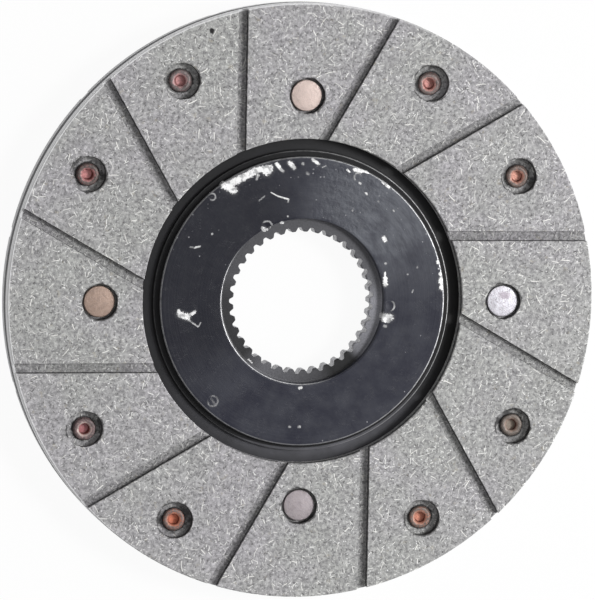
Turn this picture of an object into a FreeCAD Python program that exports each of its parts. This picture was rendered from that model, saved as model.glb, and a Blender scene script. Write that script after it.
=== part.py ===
import FreeCAD, Part
import math
import os

# A dry brake disc: a steel core plate with a splined bore, one moulded friction lining
# on each face, and semi-tubular copper rivets that hold the three together.
# The bore axis is Z. The rear friction face lies at height 0 and the front one looks up.

# Core plate
outer_diameter = 196.8
plate_thickness = 4.2
plate_edge_chamfer = 0.3

# Hub boss in the middle of the core plate, the same on both faces
boss_diameter = 95.8
boss_height = 3.5
boss_edge_radius = 0.6
shoulder_width = 1.9
shoulder_height = 1.5
shoulder_edge_radius = 0.4
bore_land_width = 2.95
recess_depth = 2.5
recess_edge_chamfer = 0.4
recess_corner_radius = 0.5

# Involute spline in the bore. Its reaches are in modules of diameter from the pitch circle,
# and its corner radius rounds both the tooth tips and the roots.
spline_teeth = 37
spline_module = 1.27
spline_pressure_angle = 30.0
spline_tip_reach = 1.0
spline_root_reach = 1.35
spline_side_clearance = 0.05
spline_corner_radius = 0.25
spline_end_chamfer = 0.5

# Friction linings, both from one mould
lining_thickness = 4.4
lining_bore_gap = 3.9
lining_edge_chamfer = 0.3
groove_count = 12
groove_width = 3.1
groove_depth = 2.0
groove_offset = 21.8
groove_corner_radius = 0.5

# Rivets: a flat head at one end, a hollow end rolled over at the other
shank_diameter = 4.8
shank_clearance = 0.1
head_diameter = 10.4
head_thickness = 1.5
head_edge_radius = 0.4
head_clearance = 0.7
hollow_diameter = 3.5
hollow_depth = 0.9
roll_overhang = 1.3
roll_height = 1.3
roll_mouth_radius = 0.9
roll_edge_radius = 0.75
lining_web_thickness = 1.5

# Rivet pattern: evenly spaced, with every third one on the inner circle and head to the front
rivet_count = 12
inner_rivet_count = 4
outer_rivet_inset = 14.9
inner_rivet_inset = 14.2

Vector = FreeCAD.Vector
origin = Vector(0, 0, 0)
axis_x = Vector(1, 0, 0)
axis_z = Vector(0, 0, 1)
full_turn = 360.0
half_turn = 180.0
largest_rounding = 0.48
touching = 0.001

outer_radius = outer_diameter / 2
pitch_radius = spline_module * spline_teeth / 2
base_radius = pitch_radius * math.cos(math.radians(spline_pressure_angle))
tip_radius = pitch_radius - spline_module * spline_tip_reach / 2
root_radius = pitch_radius + spline_module * spline_root_reach / 2
recess_radius = root_radius + bore_land_width
boss_radius = boss_diameter / 2
shoulder_radius = boss_radius + shoulder_width
lining_bore_radius = shoulder_radius + lining_bore_gap

plate_half = plate_thickness / 2
boss_half = plate_half + boss_height
shoulder_half = plate_half + shoulder_height
bore_face_half = boss_half - recess_depth
mid_height = lining_thickness + plate_half

counterbore_radius = head_diameter / 2 + head_clearance
shank_radius = shank_diameter / 2
shank_hole_radius = shank_radius + shank_clearance
rivet_grip = plate_thickness + 2 * lining_web_thickness
outer_rivet_circle = outer_radius - outer_rivet_inset
inner_rivet_circle = lining_bore_radius + inner_rivet_inset


def rounded_outline(corners):
    """A closed wire in the XZ plane; a corner's third value is its rounding radius."""
    points = [Vector(corner[0], 0, corner[1]) for corner in corners]
    entries = list(points)
    exits = list(points)
    arcs = {}
    for index, corner in enumerate(corners):
        if len(corner) < 3:
            continue
        here = points[index]
        back = (points[index - 1] - here).normalize()
        ahead = (points[(index + 1) % len(points)] - here).normalize()
        half_angle = back.getAngle(ahead) / 2
        setback = corner[2] / math.tan(half_angle)
        depth = corner[2] / math.sin(half_angle) - corner[2]
        middle = here + (back + ahead).normalize() * depth
        entries[index] = here + back * setback
        exits[index] = here + ahead * setback
        arcs[index] = Part.Arc(entries[index], middle, exits[index]).toShape()
    edges = []
    for index in range(len(points)):
        if index in arcs:
            edges.append(arcs[index])
        edges.append(Part.makeLine(exits[index], entries[(index + 1) % len(points)]))
    return Part.Wire(edges)


def turned(corners):
    """A solid of revolution about Z from a closed outline of (radius, height) corners."""
    return Part.Face(rounded_outline(corners)).revolve(origin, axis_z, full_turn)


def polar_point(radius, angle, height):
    return Vector(radius * math.cos(angle), radius * math.sin(angle), height)


def involute(radius):
    """The involute function at the pressure angle that the flank has at this radius."""
    angle = math.acos(base_radius / radius)
    return math.tan(angle) - angle


def space_half_angle(radius):
    """Half the angle between the two flanks of one spline space at this radius."""
    at_pitch = math.pi / (2 * spline_teeth) + spline_side_clearance / (2 * pitch_radius)
    return at_pitch + involute(pitch_radius) - involute(radius)


def rising_edges(prism, corners):
    """The edges of an upright prism that stand on the given corners of its outline."""
    chosen = []
    for edge in prism.Edges:
        foot = edge.Vertexes[0].Point
        run = edge.Vertexes[-1].Point - foot
        beside = min((foot - corner).cross(axis_z).Length for corner in corners)
        if run.cross(axis_z).Length < touching and beside < touching:
            chosen.append(edge)
    return chosen


def spline_space():
    """The bore's outline over one tooth space, from tooth middle to tooth middle, corners rounded."""
    pitch_angle = 2 * math.pi / spline_teeth
    centre = pitch_angle / 2
    flank_radii = (tip_radius, (tip_radius + root_radius) / 2, root_radius)
    rising = [polar_point(r, centre - space_half_angle(r), 0) for r in flank_radii]
    falling = [polar_point(r, centre + space_half_angle(r), 0) for r in reversed(flank_radii)]
    half_tip = (centre - space_half_angle(tip_radius)) / 2
    first = polar_point(tip_radius, 0, 0)
    last = polar_point(tip_radius, pitch_angle, 0)
    edges = [
        Part.makeLine(origin, first),
        Part.Arc(first, polar_point(tip_radius, half_tip, 0), rising[0]).toShape(),
        Part.Arc(*rising).toShape(),
        Part.Arc(rising[-1], polar_point(root_radius, centre, 0), falling[0]).toShape(),
        Part.Arc(*falling).toShape(),
        Part.Arc(falling[-1], polar_point(tip_radius, pitch_angle - half_tip, 0), last).toShape(),
        Part.makeLine(last, origin),
    ]
    wedge = Part.Face(Part.Wire(edges)).extrude(axis_z)
    corners = [rising[0], rising[-1], falling[0], falling[-1]]
    rounded = wedge.makeFillet(spline_corner_radius, rising_edges(wedge, corners))
    base = min(rounded.Faces, key=lambda face: face.CenterOfMass.z)
    return [edge for edge in base.Edges if min(v.Point.Length for v in edge.Vertexes) > touching]


def spline_cutter():
    """A prism of the bore's outline, as long as the hub."""
    space = spline_space()
    outline = []
    for step in range(spline_teeth):
        for edge in space:
            outline.append(edge.rotated(origin, axis_z, step * full_turn / spline_teeth))
    face = Part.Face(Part.Wire(Part.sortEdges(outline)[0]))
    face.translate(axis_z * -boss_half)
    return face.extrude(axis_z * 2 * boss_half)


def bore_end_chamfer():
    """A cone that takes the corners off the tooth ends at the front face of the bore's land."""
    foot = axis_z * (bore_face_half - spline_end_chamfer)
    return Part.makeCone(tip_radius, tip_radius + spline_end_chamfer, spline_end_chamfer, foot)


def rivet_places():
    """Name, circle radius, angle in degrees and whether the head is at the front."""
    places = []
    outer_number = 0
    inner_number = 0
    for step in range(rivet_count):
        angle = step * full_turn / rivet_count
        if step * inner_rivet_count % rivet_count == 0:
            inner_number += 1
            places.append((f"rivet_inner_{inner_number}", inner_rivet_circle, angle, True))
        else:
            outer_number += 1
            places.append((f"rivet_outer_{outer_number}", outer_rivet_circle, angle, False))
    return places


def rivet_centres():
    return [polar_point(circle, math.radians(angle), 0) for _, circle, angle, _ in rivet_places()]


def core_plate():
    """The steel plate, with its boss, shoulder and recess turned alike on both faces."""
    front_side = [
        (0, bore_face_half),
        (recess_radius, bore_face_half, recess_corner_radius),
        (recess_radius, boss_half - recess_edge_chamfer),
        (recess_radius + recess_edge_chamfer, boss_half),
        (boss_radius, boss_half, boss_edge_radius),
        (boss_radius, shoulder_half),
        (shoulder_radius, shoulder_half, shoulder_edge_radius),
        (shoulder_radius, plate_half),
        (outer_radius - plate_edge_chamfer, plate_half),
        (outer_radius, plate_half - plate_edge_chamfer),
    ]
    rear_side = [(corner[0], -corner[1], *corner[2:]) for corner in reversed(front_side)]
    blank = turned(front_side + rear_side)
    bottom = Vector(0, 0, -plate_half)
    holes = [
        Part.makeCylinder(shank_hole_radius, plate_thickness, centre + bottom)
        for centre in rivet_centres()
    ]
    front_chamfer = bore_end_chamfer()
    rear_chamfer = front_chamfer.rotated(origin, axis_x, half_turn)
    plate = blank.cut([spline_cutter(), front_chamfer, rear_chamfer, *holes])
    plate.translate(axis_z * mid_height)
    return plate


def groove_cutters():
    """Round-cornered troughs, each beside its own spoke line, cut down from the friction face."""
    left = -groove_offset - groove_width / 2
    right = left + groove_width
    bottom = lining_thickness - groove_depth
    top = lining_thickness + groove_depth
    outline = rounded_outline([
        (left, bottom, groove_corner_radius),
        (right, bottom, groove_corner_radius),
        (right, top),
        (left, top),
    ])
    trough = Part.Face(outline).extrude(Vector(0, outer_radius, 0))
    cutters = []
    for step in range(groove_count):
        cutter = trough.copy()
        cutter.rotate(origin, axis_z, step * full_turn / groove_count)
        cutters.append(cutter)
    return cutters


def friction_lining():
    """The front lining with its seat on the plate at height 0, before it is put in place."""
    ring = turned([
        (lining_bore_radius, 0),
        (outer_radius, 0),
        (outer_radius, lining_thickness - lining_edge_chamfer),
        (outer_radius - lining_edge_chamfer, lining_thickness),
        (lining_bore_radius + lining_edge_chamfer, lining_thickness),
        (lining_bore_radius, lining_thickness - lining_edge_chamfer),
    ])
    counterbore_depth = lining_thickness - lining_web_thickness
    holes = []
    for centre in rivet_centres():
        floor = centre + axis_z * lining_web_thickness
        holes.append(Part.makeCylinder(shank_hole_radius, lining_thickness, centre))
        holes.append(Part.makeCylinder(counterbore_radius, counterbore_depth, floor))
    return ring.cut(groove_cutters() + holes)


def front_lining():
    lining = friction_lining()
    lining.translate(axis_z * (lining_thickness + plate_thickness))
    return lining


def rear_lining():
    """The same moulding as the front lining, turned over about the disc's middle plane."""
    lining = front_lining()
    lining.rotate(axis_z * mid_height, axis_x, half_turn)
    return lining


def rivet():
    """A set rivet with the middle of its grip at the origin, head down and rolled end up."""
    seat = rivet_grip / 2
    head_radius = head_diameter / 2
    hollow_radius = hollow_diameter / 2
    roll_radius = shank_radius + roll_overhang
    widest = (roll_radius - hollow_radius) * largest_rounding
    mouth = min(roll_mouth_radius, widest)
    edge = min(roll_edge_radius, widest, roll_height * largest_rounding)
    toe = min(roll_height, roll_overhang) - edge
    return turned([
        (0, -seat - head_thickness),
        (head_radius, -seat - head_thickness, head_edge_radius),
        (head_radius, -seat),
        (shank_radius, -seat),
        (shank_radius, seat),
        (roll_radius, seat, toe * largest_rounding),
        (roll_radius, seat + roll_height, edge),
        (hollow_radius, seat + roll_height, mouth),
        (hollow_radius, seat - hollow_depth),
        (0, seat - hollow_depth),
    ])


def placed_rivets():
    """One named rivet per place; those on the inner circle were put in from the front."""
    rivets = {}
    for name, circle, angle, head_at_front in rivet_places():
        piece = rivet()
        if head_at_front:
            piece.rotate(origin, axis_x, half_turn)
        piece.translate(polar_point(circle, math.radians(angle), mid_height))
        rivets[name] = piece
    return rivets


def main():
    os.makedirs("parts", exist_ok=True)
    pieces = {
        "core_plate": core_plate(),
        "lining_front": front_lining(),
        "lining_rear": rear_lining(),
        **placed_rivets(),
    }
    for name, shape in pieces.items():
        shape.exportStep(f"parts/{name}.step")
        solids = len(shape.Solids)
        print(name, "solids", solids, "valid", shape.isValid(), "volume", round(shape.Volume, 1))


main()
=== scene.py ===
import math

import bmesh
import bpy
import numpy as np
from mathutils import Matrix, Vector


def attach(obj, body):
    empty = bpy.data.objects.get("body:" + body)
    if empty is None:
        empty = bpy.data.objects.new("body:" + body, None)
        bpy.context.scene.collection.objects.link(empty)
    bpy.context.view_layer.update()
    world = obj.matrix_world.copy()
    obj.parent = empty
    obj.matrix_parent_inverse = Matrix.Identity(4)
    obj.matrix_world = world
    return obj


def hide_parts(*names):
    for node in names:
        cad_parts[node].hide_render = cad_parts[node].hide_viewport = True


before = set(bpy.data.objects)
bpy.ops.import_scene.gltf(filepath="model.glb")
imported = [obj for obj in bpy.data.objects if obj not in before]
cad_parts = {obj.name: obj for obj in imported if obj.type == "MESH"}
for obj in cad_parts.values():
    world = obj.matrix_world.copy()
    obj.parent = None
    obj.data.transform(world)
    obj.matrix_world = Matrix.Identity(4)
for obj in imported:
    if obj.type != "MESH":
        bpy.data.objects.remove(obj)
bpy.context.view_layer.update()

# Core plate
# One steel plate with its splined hub boss, turned on both faces and broached through the bore.
# The hub is painted glossy black; the paint is chipped, and its edges are rubbed back to the steel.
# The outer rim and the spline teeth are bare.
MILLIMETRE = 0.001
outer_radius = 98.4
mid_height = 6.5
plate_half = 2.1
boss_half = 5.6
shoulder_half = 3.6
land_half = 3.1
boss_radius = 47.9
shoulder_radius = 49.8
recess_radius = 27.3
spline_teeth = 37
pitch_radius = 23.495
tip_radius = 22.86
root_radius = 24.35
pressure_angle = math.radians(30)
side_clearance = 0.05
end_chamfer = 0.5
recess_foot, recess_corner = 0.5, 0.55
boss_corner, shoulder_corner, rim_corner = 0.6, 0.4, 0.3
step_foot = 0.2
stations_per_tooth = 16
outer_rivet_circle = 83.5
inner_rivet_circle = 67.9
rivet_count = 12
shank_hole_radius = 2.5
face_rings_front = 60
face_rings_rear = 10


def link(made, name):
    """A new object for a mesh, a lamp or a camera, in the scene."""
    piece = bpy.data.objects.new(name, made)
    bpy.context.scene.collection.objects.link(piece)
    return piece


def involute(radius):
    angle = math.acos(pitch_radius * math.cos(pressure_angle) / radius)
    return math.tan(angle) - angle


def spline_outline():
    """Radius and angle of the bore's outline at evenly spaced stations, its corners rounded."""
    pitch = 2 * math.pi / spline_teeth
    space = pitch / 4 + side_clearance / (2 * pitch_radius) + involute(pitch_radius)
    radii = np.linspace(tip_radius, root_radius, 9)
    flank = [pitch / 2 - space + involute(radius) for radius in radii]
    half_radius = np.r_[tip_radius, radii, root_radius]
    half_angle = np.r_[0, flank, pitch / 2]
    radius = np.r_[half_radius, half_radius[-2::-1]]
    angle = np.r_[half_angle, pitch - half_angle[-2::-1]]
    steps = np.hypot(np.diff(radius), np.diff(angle) * pitch_radius)
    along = np.r_[0, np.cumsum(steps)] / steps.sum()
    fine = np.arange(360) / 360
    radius = np.interp(fine, along, radius)
    drift = np.interp(fine, along, angle) - fine * pitch
    softness = 8
    spread = np.exp(-0.5 * ((np.arange(360) - 180) / softness) ** 2)
    spectrum = np.fft.rfft(np.roll(spread / spread.sum(), -180))
    radius = np.fft.irfft(np.fft.rfft(radius) * spectrum, 360)
    drift = np.fft.irfft(np.fft.rfft(drift) * spectrum, 360)
    picked = np.linspace(0, 360, stations_per_tooth, endpoint=False).round().astype(int)
    one_angle = drift[picked] + fine[picked] * pitch
    angles = np.concatenate([one_angle + tooth * pitch for tooth in range(spline_teeth)])
    return np.tile(radius[picked], spline_teeth), angles


def arc(centre, radius, start, end, steps):
    """Points (radius, height) on a rounding, angles in degrees."""
    turns = np.radians(np.linspace(start, end, steps))
    return [(centre[0] + radius * math.cos(t), centre[1] + radius * math.sin(t)) for t in turns]


def plate_side(face_rings):
    """Rings of one face from the land of the bore to the rim, as (radius, height)."""
    rings = [(r, land_half) for r in np.linspace(root_radius + 1, recess_radius - 0.9, 3)]
    rings += arc((recess_radius - recess_foot, land_half + recess_foot), recess_foot, -90, 0, 4)
    rings += arc((recess_radius + recess_corner, boss_half - recess_corner), recess_corner, 180, 90, 5)
    rings += [(r, boss_half) for r in np.linspace(recess_radius + 1, boss_radius - 0.95, face_rings)]
    rings += arc((boss_radius - boss_corner, boss_half - boss_corner), boss_corner, 90, 0, 6)
    rings += arc((boss_radius + step_foot, shoulder_half + step_foot), step_foot, 180, 270, 3)
    rings += [(boss_radius + 0.8, shoulder_half)]
    centre = (shoulder_radius - shoulder_corner, shoulder_half - shoulder_corner)
    rings += arc(centre, shoulder_corner, 90, 0, 5)
    rings += arc((shoulder_radius + step_foot, plate_half + step_foot), step_foot, 180, 270, 3)
    rings += [(r, plate_half) for r in (52, 56, 76, 95)]
    rings += arc((outer_radius - rim_corner, plate_half - rim_corner), rim_corner, 90, 0, 4)
    return rings


def dents(x, y):
    """How far the boss face is knocked down by the two dents and a few smaller knocks."""
    knocks = ((-12.6, 24.6, 1.3, 0.35), (29.1, -0.9, 2.0, 0.12), (-3.5, 44.6, 1.6, 0.10),
              (27.1, 20.9, 1.2, 0.16), (-38.5, -5.4, 1.4, 0.10), (-25.0, 38.5, 2.2, 0.12),
              (28.6, -5.6, 1.6, 0.18))
    drop = np.zeros_like(x)
    for centre_x, centre_y, size, depth in knocks:
        reach = np.hypot(x - centre_x, y - centre_y) / size
        drop += depth * np.clip(1 - reach ** 2, 0, 1) ** 2
    return drop


def core_plate_mesh():
    """The plate as rings of points round the axis, closed through the bore and over the rim."""
    outline, spline_angle = spline_outline()
    count = len(outline)
    even_angle = np.arange(count) * 2 * math.pi / count
    chamfer_radius = tip_radius + end_chamfer
    wide = np.maximum(outline, chamfer_radius)
    chamfer_foot = land_half - np.maximum(0, chamfer_radius - outline)
    rings = [(outline, np.full(count, 0.8), spline_angle), (outline, chamfer_foot, spline_angle),
             (wide, np.full(count, land_half), spline_angle)]
    between = (spline_angle + even_angle) / 2
    rings.append((np.maximum(wide, root_radius + 0.5), np.full(count, land_half), between))
    front = list(rings)
    for radius, height in plate_side(face_rings_front):
        front.append((np.full(count, radius), np.full(count, height), even_angle))
    rear = list(rings)
    for radius, height in plate_side(face_rings_rear):
        rear.append((np.full(count, radius), np.full(count, height), even_angle))
    points = []
    for radius, height, angle in front:
        x, y = radius * np.cos(angle), radius * np.sin(angle)
        on_face = (height > boss_half - 0.3) & (radius > recess_radius)
        points.append(np.c_[x, y, mid_height + height - np.where(on_face, dents(x, y), 0)])
    for radius, height, angle in reversed(rear):
        points.append(np.c_[radius * np.cos(angle), radius * np.sin(angle), mid_height - height])
    rows = len(points)
    faces = []
    for row in range(rows):
        below, above = row * count, (row + 1) % rows * count
        for column in range(count):
            beside = (column + 1) % count
            faces.append((below + column, above + column, above + beside, below + beside))
    made = bpy.data.meshes.new("core_plate")
    made.from_pydata(np.concatenate(points) * MILLIMETRE, [], faces)
    return made


# Every chip is a stroke: from x, y to x, y, half its width (millimetres) and how bright it is
chips = (
    (-27.0, 38.3, -24.0, 36.8, 1.35, 1.0), (-25.3, 38.6, -22.4, 40.1, 1.3, 1.0),
    (-22.4, 40.2, -16.9, 43.0, 1.25, 1.0), (-16.9, 43.2, -12.0, 44.2, 1.05, 1.0),
    (-13.2, 43.1, -12.6, 43.6, 1.6, 1.0), (-15.7, 41.8, -16.4, 40.2, 0.35, 0.4),
    (-9.7, 45.4, -8.8, 44.2, 0.65, 1.0), (-8.8, 44.2, -7.6, 42.9, 0.5, 0.45),
    (-5.4, 45.8, -4.8, 45.2, 0.8, 0.9), (-4.4, 45.0, -3.9, 44.1, 0.7, 0.5),
    (-0.9, 45.4, -0.9, 45.6, 0.5, 0.35), (0.5, 42.5, 0.9, 42.1, 0.45, 0.3),
    (2.4, 46.8, 4.3, 45.5, 0.55, 1.0), (5.6, 44.3, 6.9, 44.9, 0.22, 0.45),
    (-11.5, 36.0, -8.9, 34.7, 0.22, 0.75), (-8.9, 34.7, -5.5, 33.8, 0.27, 0.9),
    (-5.5, 33.8, -5.7, 32.9, 0.27, 0.8), (-15.5, 33.2, -13.5, 34.9, 0.22, 0.3),
    (13.9, 43.6, 14.8, 42.9, 0.35, 1.0), (16.5, 43.7, 18.7, 43.2, 0.75, 1.0),
    (18.7, 43.3, 21.2, 42.7, 0.45, 1.0), (18.2, 39.3, 18.6, 39.0, 0.38, 0.65),
    (20.4, 35.9, 20.8, 35.6, 0.38, 0.75), (24.6, 33.3, 24.9, 33.1, 0.28, 0.35),
    (26.0, 39.7, 28.2, 37.9, 0.5, 1.0), (29.9, 30.3, 30.2, 29.9, 0.3, 0.4),
    (16.0, 30.0, 16.1, 30.2, 0.28, 0.3), (26.9, 21.1, 27.2, 20.4, 0.75, 1.0),
    (27.6, 12.6, 27.7, 12.6, 0.4, 0.8), (27.5, 9.6, 27.6, 7.5, 0.38, 1.0),
    (27.6, 7.5, 27.7, 5.6, 0.85, 1.0), (45.4, 13.2, 45.6, 12.9, 0.65, 0.9),
    (46.3, 9.3, 46.4, 9.0, 0.65, 0.9), (46.7, 7.2, 46.6, 6.6, 0.95, 1.0),
    (46.8, 4.8, 46.8, 4.4, 0.8, 1.0), (45.7, 11.0, 45.7, 10.9, 0.3, 0.6),
    (35.2, 9.0, 35.3, 9.0, 0.3, 0.45), (38.4, 11.4, 38.4, 11.3, 0.35, 0.45),
    (37.2, 3.8, 36.9, 3.0, 0.25, 0.35), (27.6, -5.0, 29.6, -5.4, 1.2, 0.8),
    (27.4, -6.3, 28.9, -6.5, 0.7, 1.0), (27.7, -8.2, 28.1, -8.3, 0.5, 0.3),
    (-41.2, -4.2, -38.6, -5.0, 1.1, 1.0), (-41.4, -3.4, -41.6, -3.1, 0.6, 0.9),
    (-39.0, -5.0, -36.4, -3.5, 0.6, 1.0), (-36.2, -3.2, -36.0, -3.1, 0.4, 0.4),
    (-38.4, -6.0, -35.0, -8.3, 0.26, 0.55), (-35.0, -8.3, -34.2, -6.9, 0.22, 0.35),
    (-14.1, 24.3, -12.0, 23.6, 0.5, 0.6), (-7.7, 26.1, -6.7, 25.8, 0.45, 1.0),
    (-5.7, 28.1, -5.7, 28.2, 0.3, 0.5), (-0.6, -28.7, 0.0, -28.6, 0.5, 0.8),
    (-3.8, -41.6, -3.6, -41.6, 0.4, 0.4), (-0.6, -41.6, -0.3, -41.6, 0.45, 0.55),
    (-30.2, -32.2, -29.2, -33.6, 0.3, 0.12), (-30.9, 22.2, -30.9, 22.4, 0.35, 0.45),
    (-38.3, 18.0, -36.6, 17.8, 0.25, 0.35), (-36.6, 17.8, -34.9, 18.2, 0.32, 0.7),
    (-11.2, -21.3, -9.6, -21.9, 0.5, 0.9), (-17.7, -19.2, -16.2, -20.6, 0.3, 0.8),
)

# Round marks left by a punch or a burst blister: middle x and y, radius, from which degree to which
# one side of the rim shows, and how bright it is
ring_marks = (
    (29.2, -1.5, 1.75, -75, 80, 0.42), (17.7, 41.2, 1.3, 20, 250, 0.3),
    (-12.6, 24.8, 1.75, 170, 300, 0.6), (-12.6, 24.8, 1.75, -50, 160, 0.32),
    (-29.7, -32.9, 1.7, -200, 150, 0.2), (-31.1, 34.5, 1.1, -170, 160, 0.3),
)


def chip_closeness(x, y):
    """How far inside the nearest chip each point is, and how bright that chip is.

    The first is 1 in the chip's middle, 0 at its outline and negative outside.
    """
    closest, tone = np.full(len(x), -3.0), np.zeros(len(x))
    layers = []
    for x0, y0, x1, y1, half_width, brightness in chips:
        run_x, run_y = x1 - x0, y1 - y0
        share = np.clip(((x - x0) * run_x + (y - y0) * run_y) / (run_x ** 2 + run_y ** 2), 0, 1)
        distance = np.hypot(x - x0 - share * run_x, y - y0 - share * run_y)
        layers.append((1 - distance / half_width, brightness))
    for middle_x, middle_y, radius, start, end, brightness in ring_marks:
        turn = (np.degrees(np.arctan2(y - middle_y, x - middle_x)) - start) % 360 / (end - start)
        fade = np.clip(6 * turn, 0, 1) * np.clip(6 * (1 - turn), 0, 1)
        distance = np.abs(np.hypot(x - middle_x, y - middle_y) - radius)
        layers.append((fade - distance / 0.28, brightness))
    for closeness, brightness in layers:
        nearer = closeness > closest
        closest, tone = np.where(nearer, closeness, closest), np.where(nearer, brightness, tone)
    return closest, tone


def mark_chips(made):
    """Stores the chips of the front face as attributes of the mesh."""
    places = np.zeros(len(made.vertices) * 3)
    made.vertices.foreach_get("co", places)
    x, y, z = places.reshape(-1, 3).T / MILLIMETRE
    closest, tone = chip_closeness(x, y)
    closest = np.where(z > mid_height + land_half - 0.1, closest, -3.0)
    for name, values in (("chip", closest), ("chip_tone", tone)):
        made.attributes.new(name, "FLOAT", "POINT").data.foreach_set("value", values)


def rivet_spots():
    """Name, place in the plane and whether the flat head is at the front, for every rivet."""
    spots = []
    inner = outer = 0
    for step in range(rivet_count):
        turn = 2 * math.pi * step / rivet_count
        head_in_front = step % 3 == 0
        inner += head_in_front
        outer += not head_in_front
        name = f"rivet_inner_{inner}" if head_in_front else f"rivet_outer_{outer}"
        circle = inner_rivet_circle if head_in_front else outer_rivet_circle
        spots.append((name, circle * math.cos(turn), circle * math.sin(turn), head_in_front))
    return spots


def outward(made):
    """Turns every face of a closed mesh outward."""
    grown = bmesh.new()
    grown.from_mesh(made)
    bmesh.ops.recalc_face_normals(grown, faces=grown.faces)
    grown.to_mesh(made)
    grown.free()


def drilled_plate():
    """The plate with its twelve shank holes."""
    plate = link(core_plate_mesh(), "core_plate_detail")
    outward(plate.data)
    drills = bmesh.new()
    for _, x, y, _ in rivet_spots():
        bmesh.ops.create_cone(
            drills, cap_ends=True, segments=32, radius1=shank_hole_radius * MILLIMETRE,
            radius2=shank_hole_radius * MILLIMETRE, depth=3 * plate_half * MILLIMETRE,
            matrix=Matrix.Translation(Vector((x, y, mid_height)) * MILLIMETRE))
    drill_mesh = bpy.data.meshes.new("drills")
    drills.to_mesh(drill_mesh)
    drills.free()
    drill = link(drill_mesh, "drills")
    cut = plate.modifiers.new("holes", "BOOLEAN")
    cut.operation = "DIFFERENCE"
    cut.solver = "EXACT"
    cut.object = drill
    flatten(plate)
    bpy.data.objects.remove(drill)
    return plate


def flatten(piece):
    """Turns what the modifiers give into the piece's own plain mesh."""
    ready = piece.evaluated_get(bpy.context.evaluated_depsgraph_get())
    made = bpy.data.meshes.new_from_object(ready)
    piece.modifiers.clear()
    piece.data = made


def smooth(piece, degrees):
    """Smooth shading, with every edge sharper than the angle kept crisp."""
    piece.data.shade_smooth()
    piece.data.set_sharp_from_angle(angle=math.radians(degrees))


Socket = bpy.types.NodeSocket


def put(node, inputs):
    """Gives inputs of a node their values; a socket among the values is linked."""
    for key, value in dict(inputs).items():
        if isinstance(value, Socket):
            node.id_data.links.new(value, node.inputs[key])
        else:
            node.inputs[key].default_value = value


def add(tree, kind, inputs=(), **settings):
    """One new node of a tree, with its settings and inputs."""
    node = tree.nodes.new(kind)
    for name, value in settings.items():
        setattr(node, name, value)
    put(node, inputs)
    return node


def home(*values):
    """The node tree that holds the first socket among the values."""
    return next(value.id_data for value in values if isinstance(value, Socket))


def calc(operation, *values):
    return add(home(*values), "ShaderNodeMath", enumerate(values), operation=operation).outputs[0]


def both_ways(operation):
    """What a sign does where the socket stands on its left, and where only the right one is a socket."""
    return lambda left, right: calc(operation, left, right), lambda right, left: calc(operation, left, right)


# A plain sign between sockets, or between a socket and a number, stands for one math node
Socket.__add__, Socket.__radd__ = both_ways("ADD")
Socket.__sub__, Socket.__rsub__ = both_ways("SUBTRACT")
Socket.__mul__, Socket.__rmul__ = both_ways("MULTIPLY")
Socket.__truediv__, Socket.__rtruediv__ = both_ways("DIVIDE")
Socket.__abs__ = lambda value: calc("ABSOLUTE", value)


def vector_calc(operation, *values):
    node = add(home(*values), "ShaderNodeVectorMath", enumerate(values), operation=operation)
    return node.outputs["Value" if operation in ("LENGTH", "DOT_PRODUCT", "DISTANCE") else "Vector"]


def scaled(vector, factor):
    inputs = {0: vector, "Scale": factor}
    return add(vector.id_data, "ShaderNodeVectorMath", inputs, operation="SCALE").outputs[0]


def rise(value, low, high, floor=0.0, top=1.0):
    """A smooth step from floor at low to top at high."""
    inputs = {"Value": value, "From Min": low, "From Max": high, "To Min": floor, "To Max": top}
    node = add(value.id_data, "ShaderNodeMapRange", inputs, interpolation_type="SMOOTHSTEP")
    return node.outputs["Result"]


def grain(place, scale, detail=3.0, roughness=0.55, kind="3D"):
    inputs = {"Vector": place, "Scale": scale, "Detail": detail, "Roughness": roughness}
    return add(place.id_data, "ShaderNodeTexNoise", inputs, noise_dimensions=kind).outputs["Fac"]


def blend(share, first, second):
    """A colour between two others."""
    tree = home(share, first, second)
    return add(tree, "ShaderNodeMix", {0: share, 6: first, 7: second}, data_type="RGBA").outputs[2]


def joined(x, y, z=0.0):
    return add(home(x, y, z), "ShaderNodeCombineXYZ", {0: x, 1: y, 2: z}).outputs[0]


def parts_of(vector):
    return add(vector.id_data, "ShaderNodeSeparateXYZ", {0: vector}).outputs


def in_millimetres(tree):
    place = add(tree, "ShaderNodeTexCoord").outputs["Object"]
    return vector_calc("MULTIPLY", place, (1000.0, 1000.0, 1000.0))


def shader_group(name, inputs, outputs):
    """A node group with named sockets; returns it with its inputs and its output node."""
    group = bpy.data.node_groups.new(name, "ShaderNodeTree")
    for label, kind, value in inputs:
        socket = group.interface.new_socket(label, in_out="INPUT", socket_type="NodeSocket" + kind)
        if value is not None:
            socket.default_value = value
    for label, kind in outputs:
        group.interface.new_socket(label, in_out="OUTPUT", socket_type="NodeSocket" + kind)
    return group, group.nodes.new("NodeGroupInput").outputs, group.nodes.new("NodeGroupOutput")


def placed(group, inputs):
    """A node group set into the tree of its inputs."""
    return add(home(*inputs.values()), "ShaderNodeGroup", inputs, node_tree=group).outputs


def new_material(name, kind="ShaderNodeBsdfPrincipled"):
    """A node material with one shader; returns it with its tree and its shader."""
    made = bpy.data.materials.new(name)
    made.use_nodes = True
    tree = made.node_tree
    tree.nodes.clear()
    shader = tree.nodes.new(kind)
    output = tree.nodes.new("ShaderNodeOutputMaterial")
    tree.links.new(shader.outputs[0], output.inputs[0])
    return made, tree, shader


def emboss(shader, relief):
    """Gives a shader a relief in millimetres."""
    bump = add(shader.id_data, "ShaderNodeBump", {"Height": relief * MILLIMETRE, "Distance": 1.0})
    put(shader, {"Normal": bump.outputs[0]})


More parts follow.
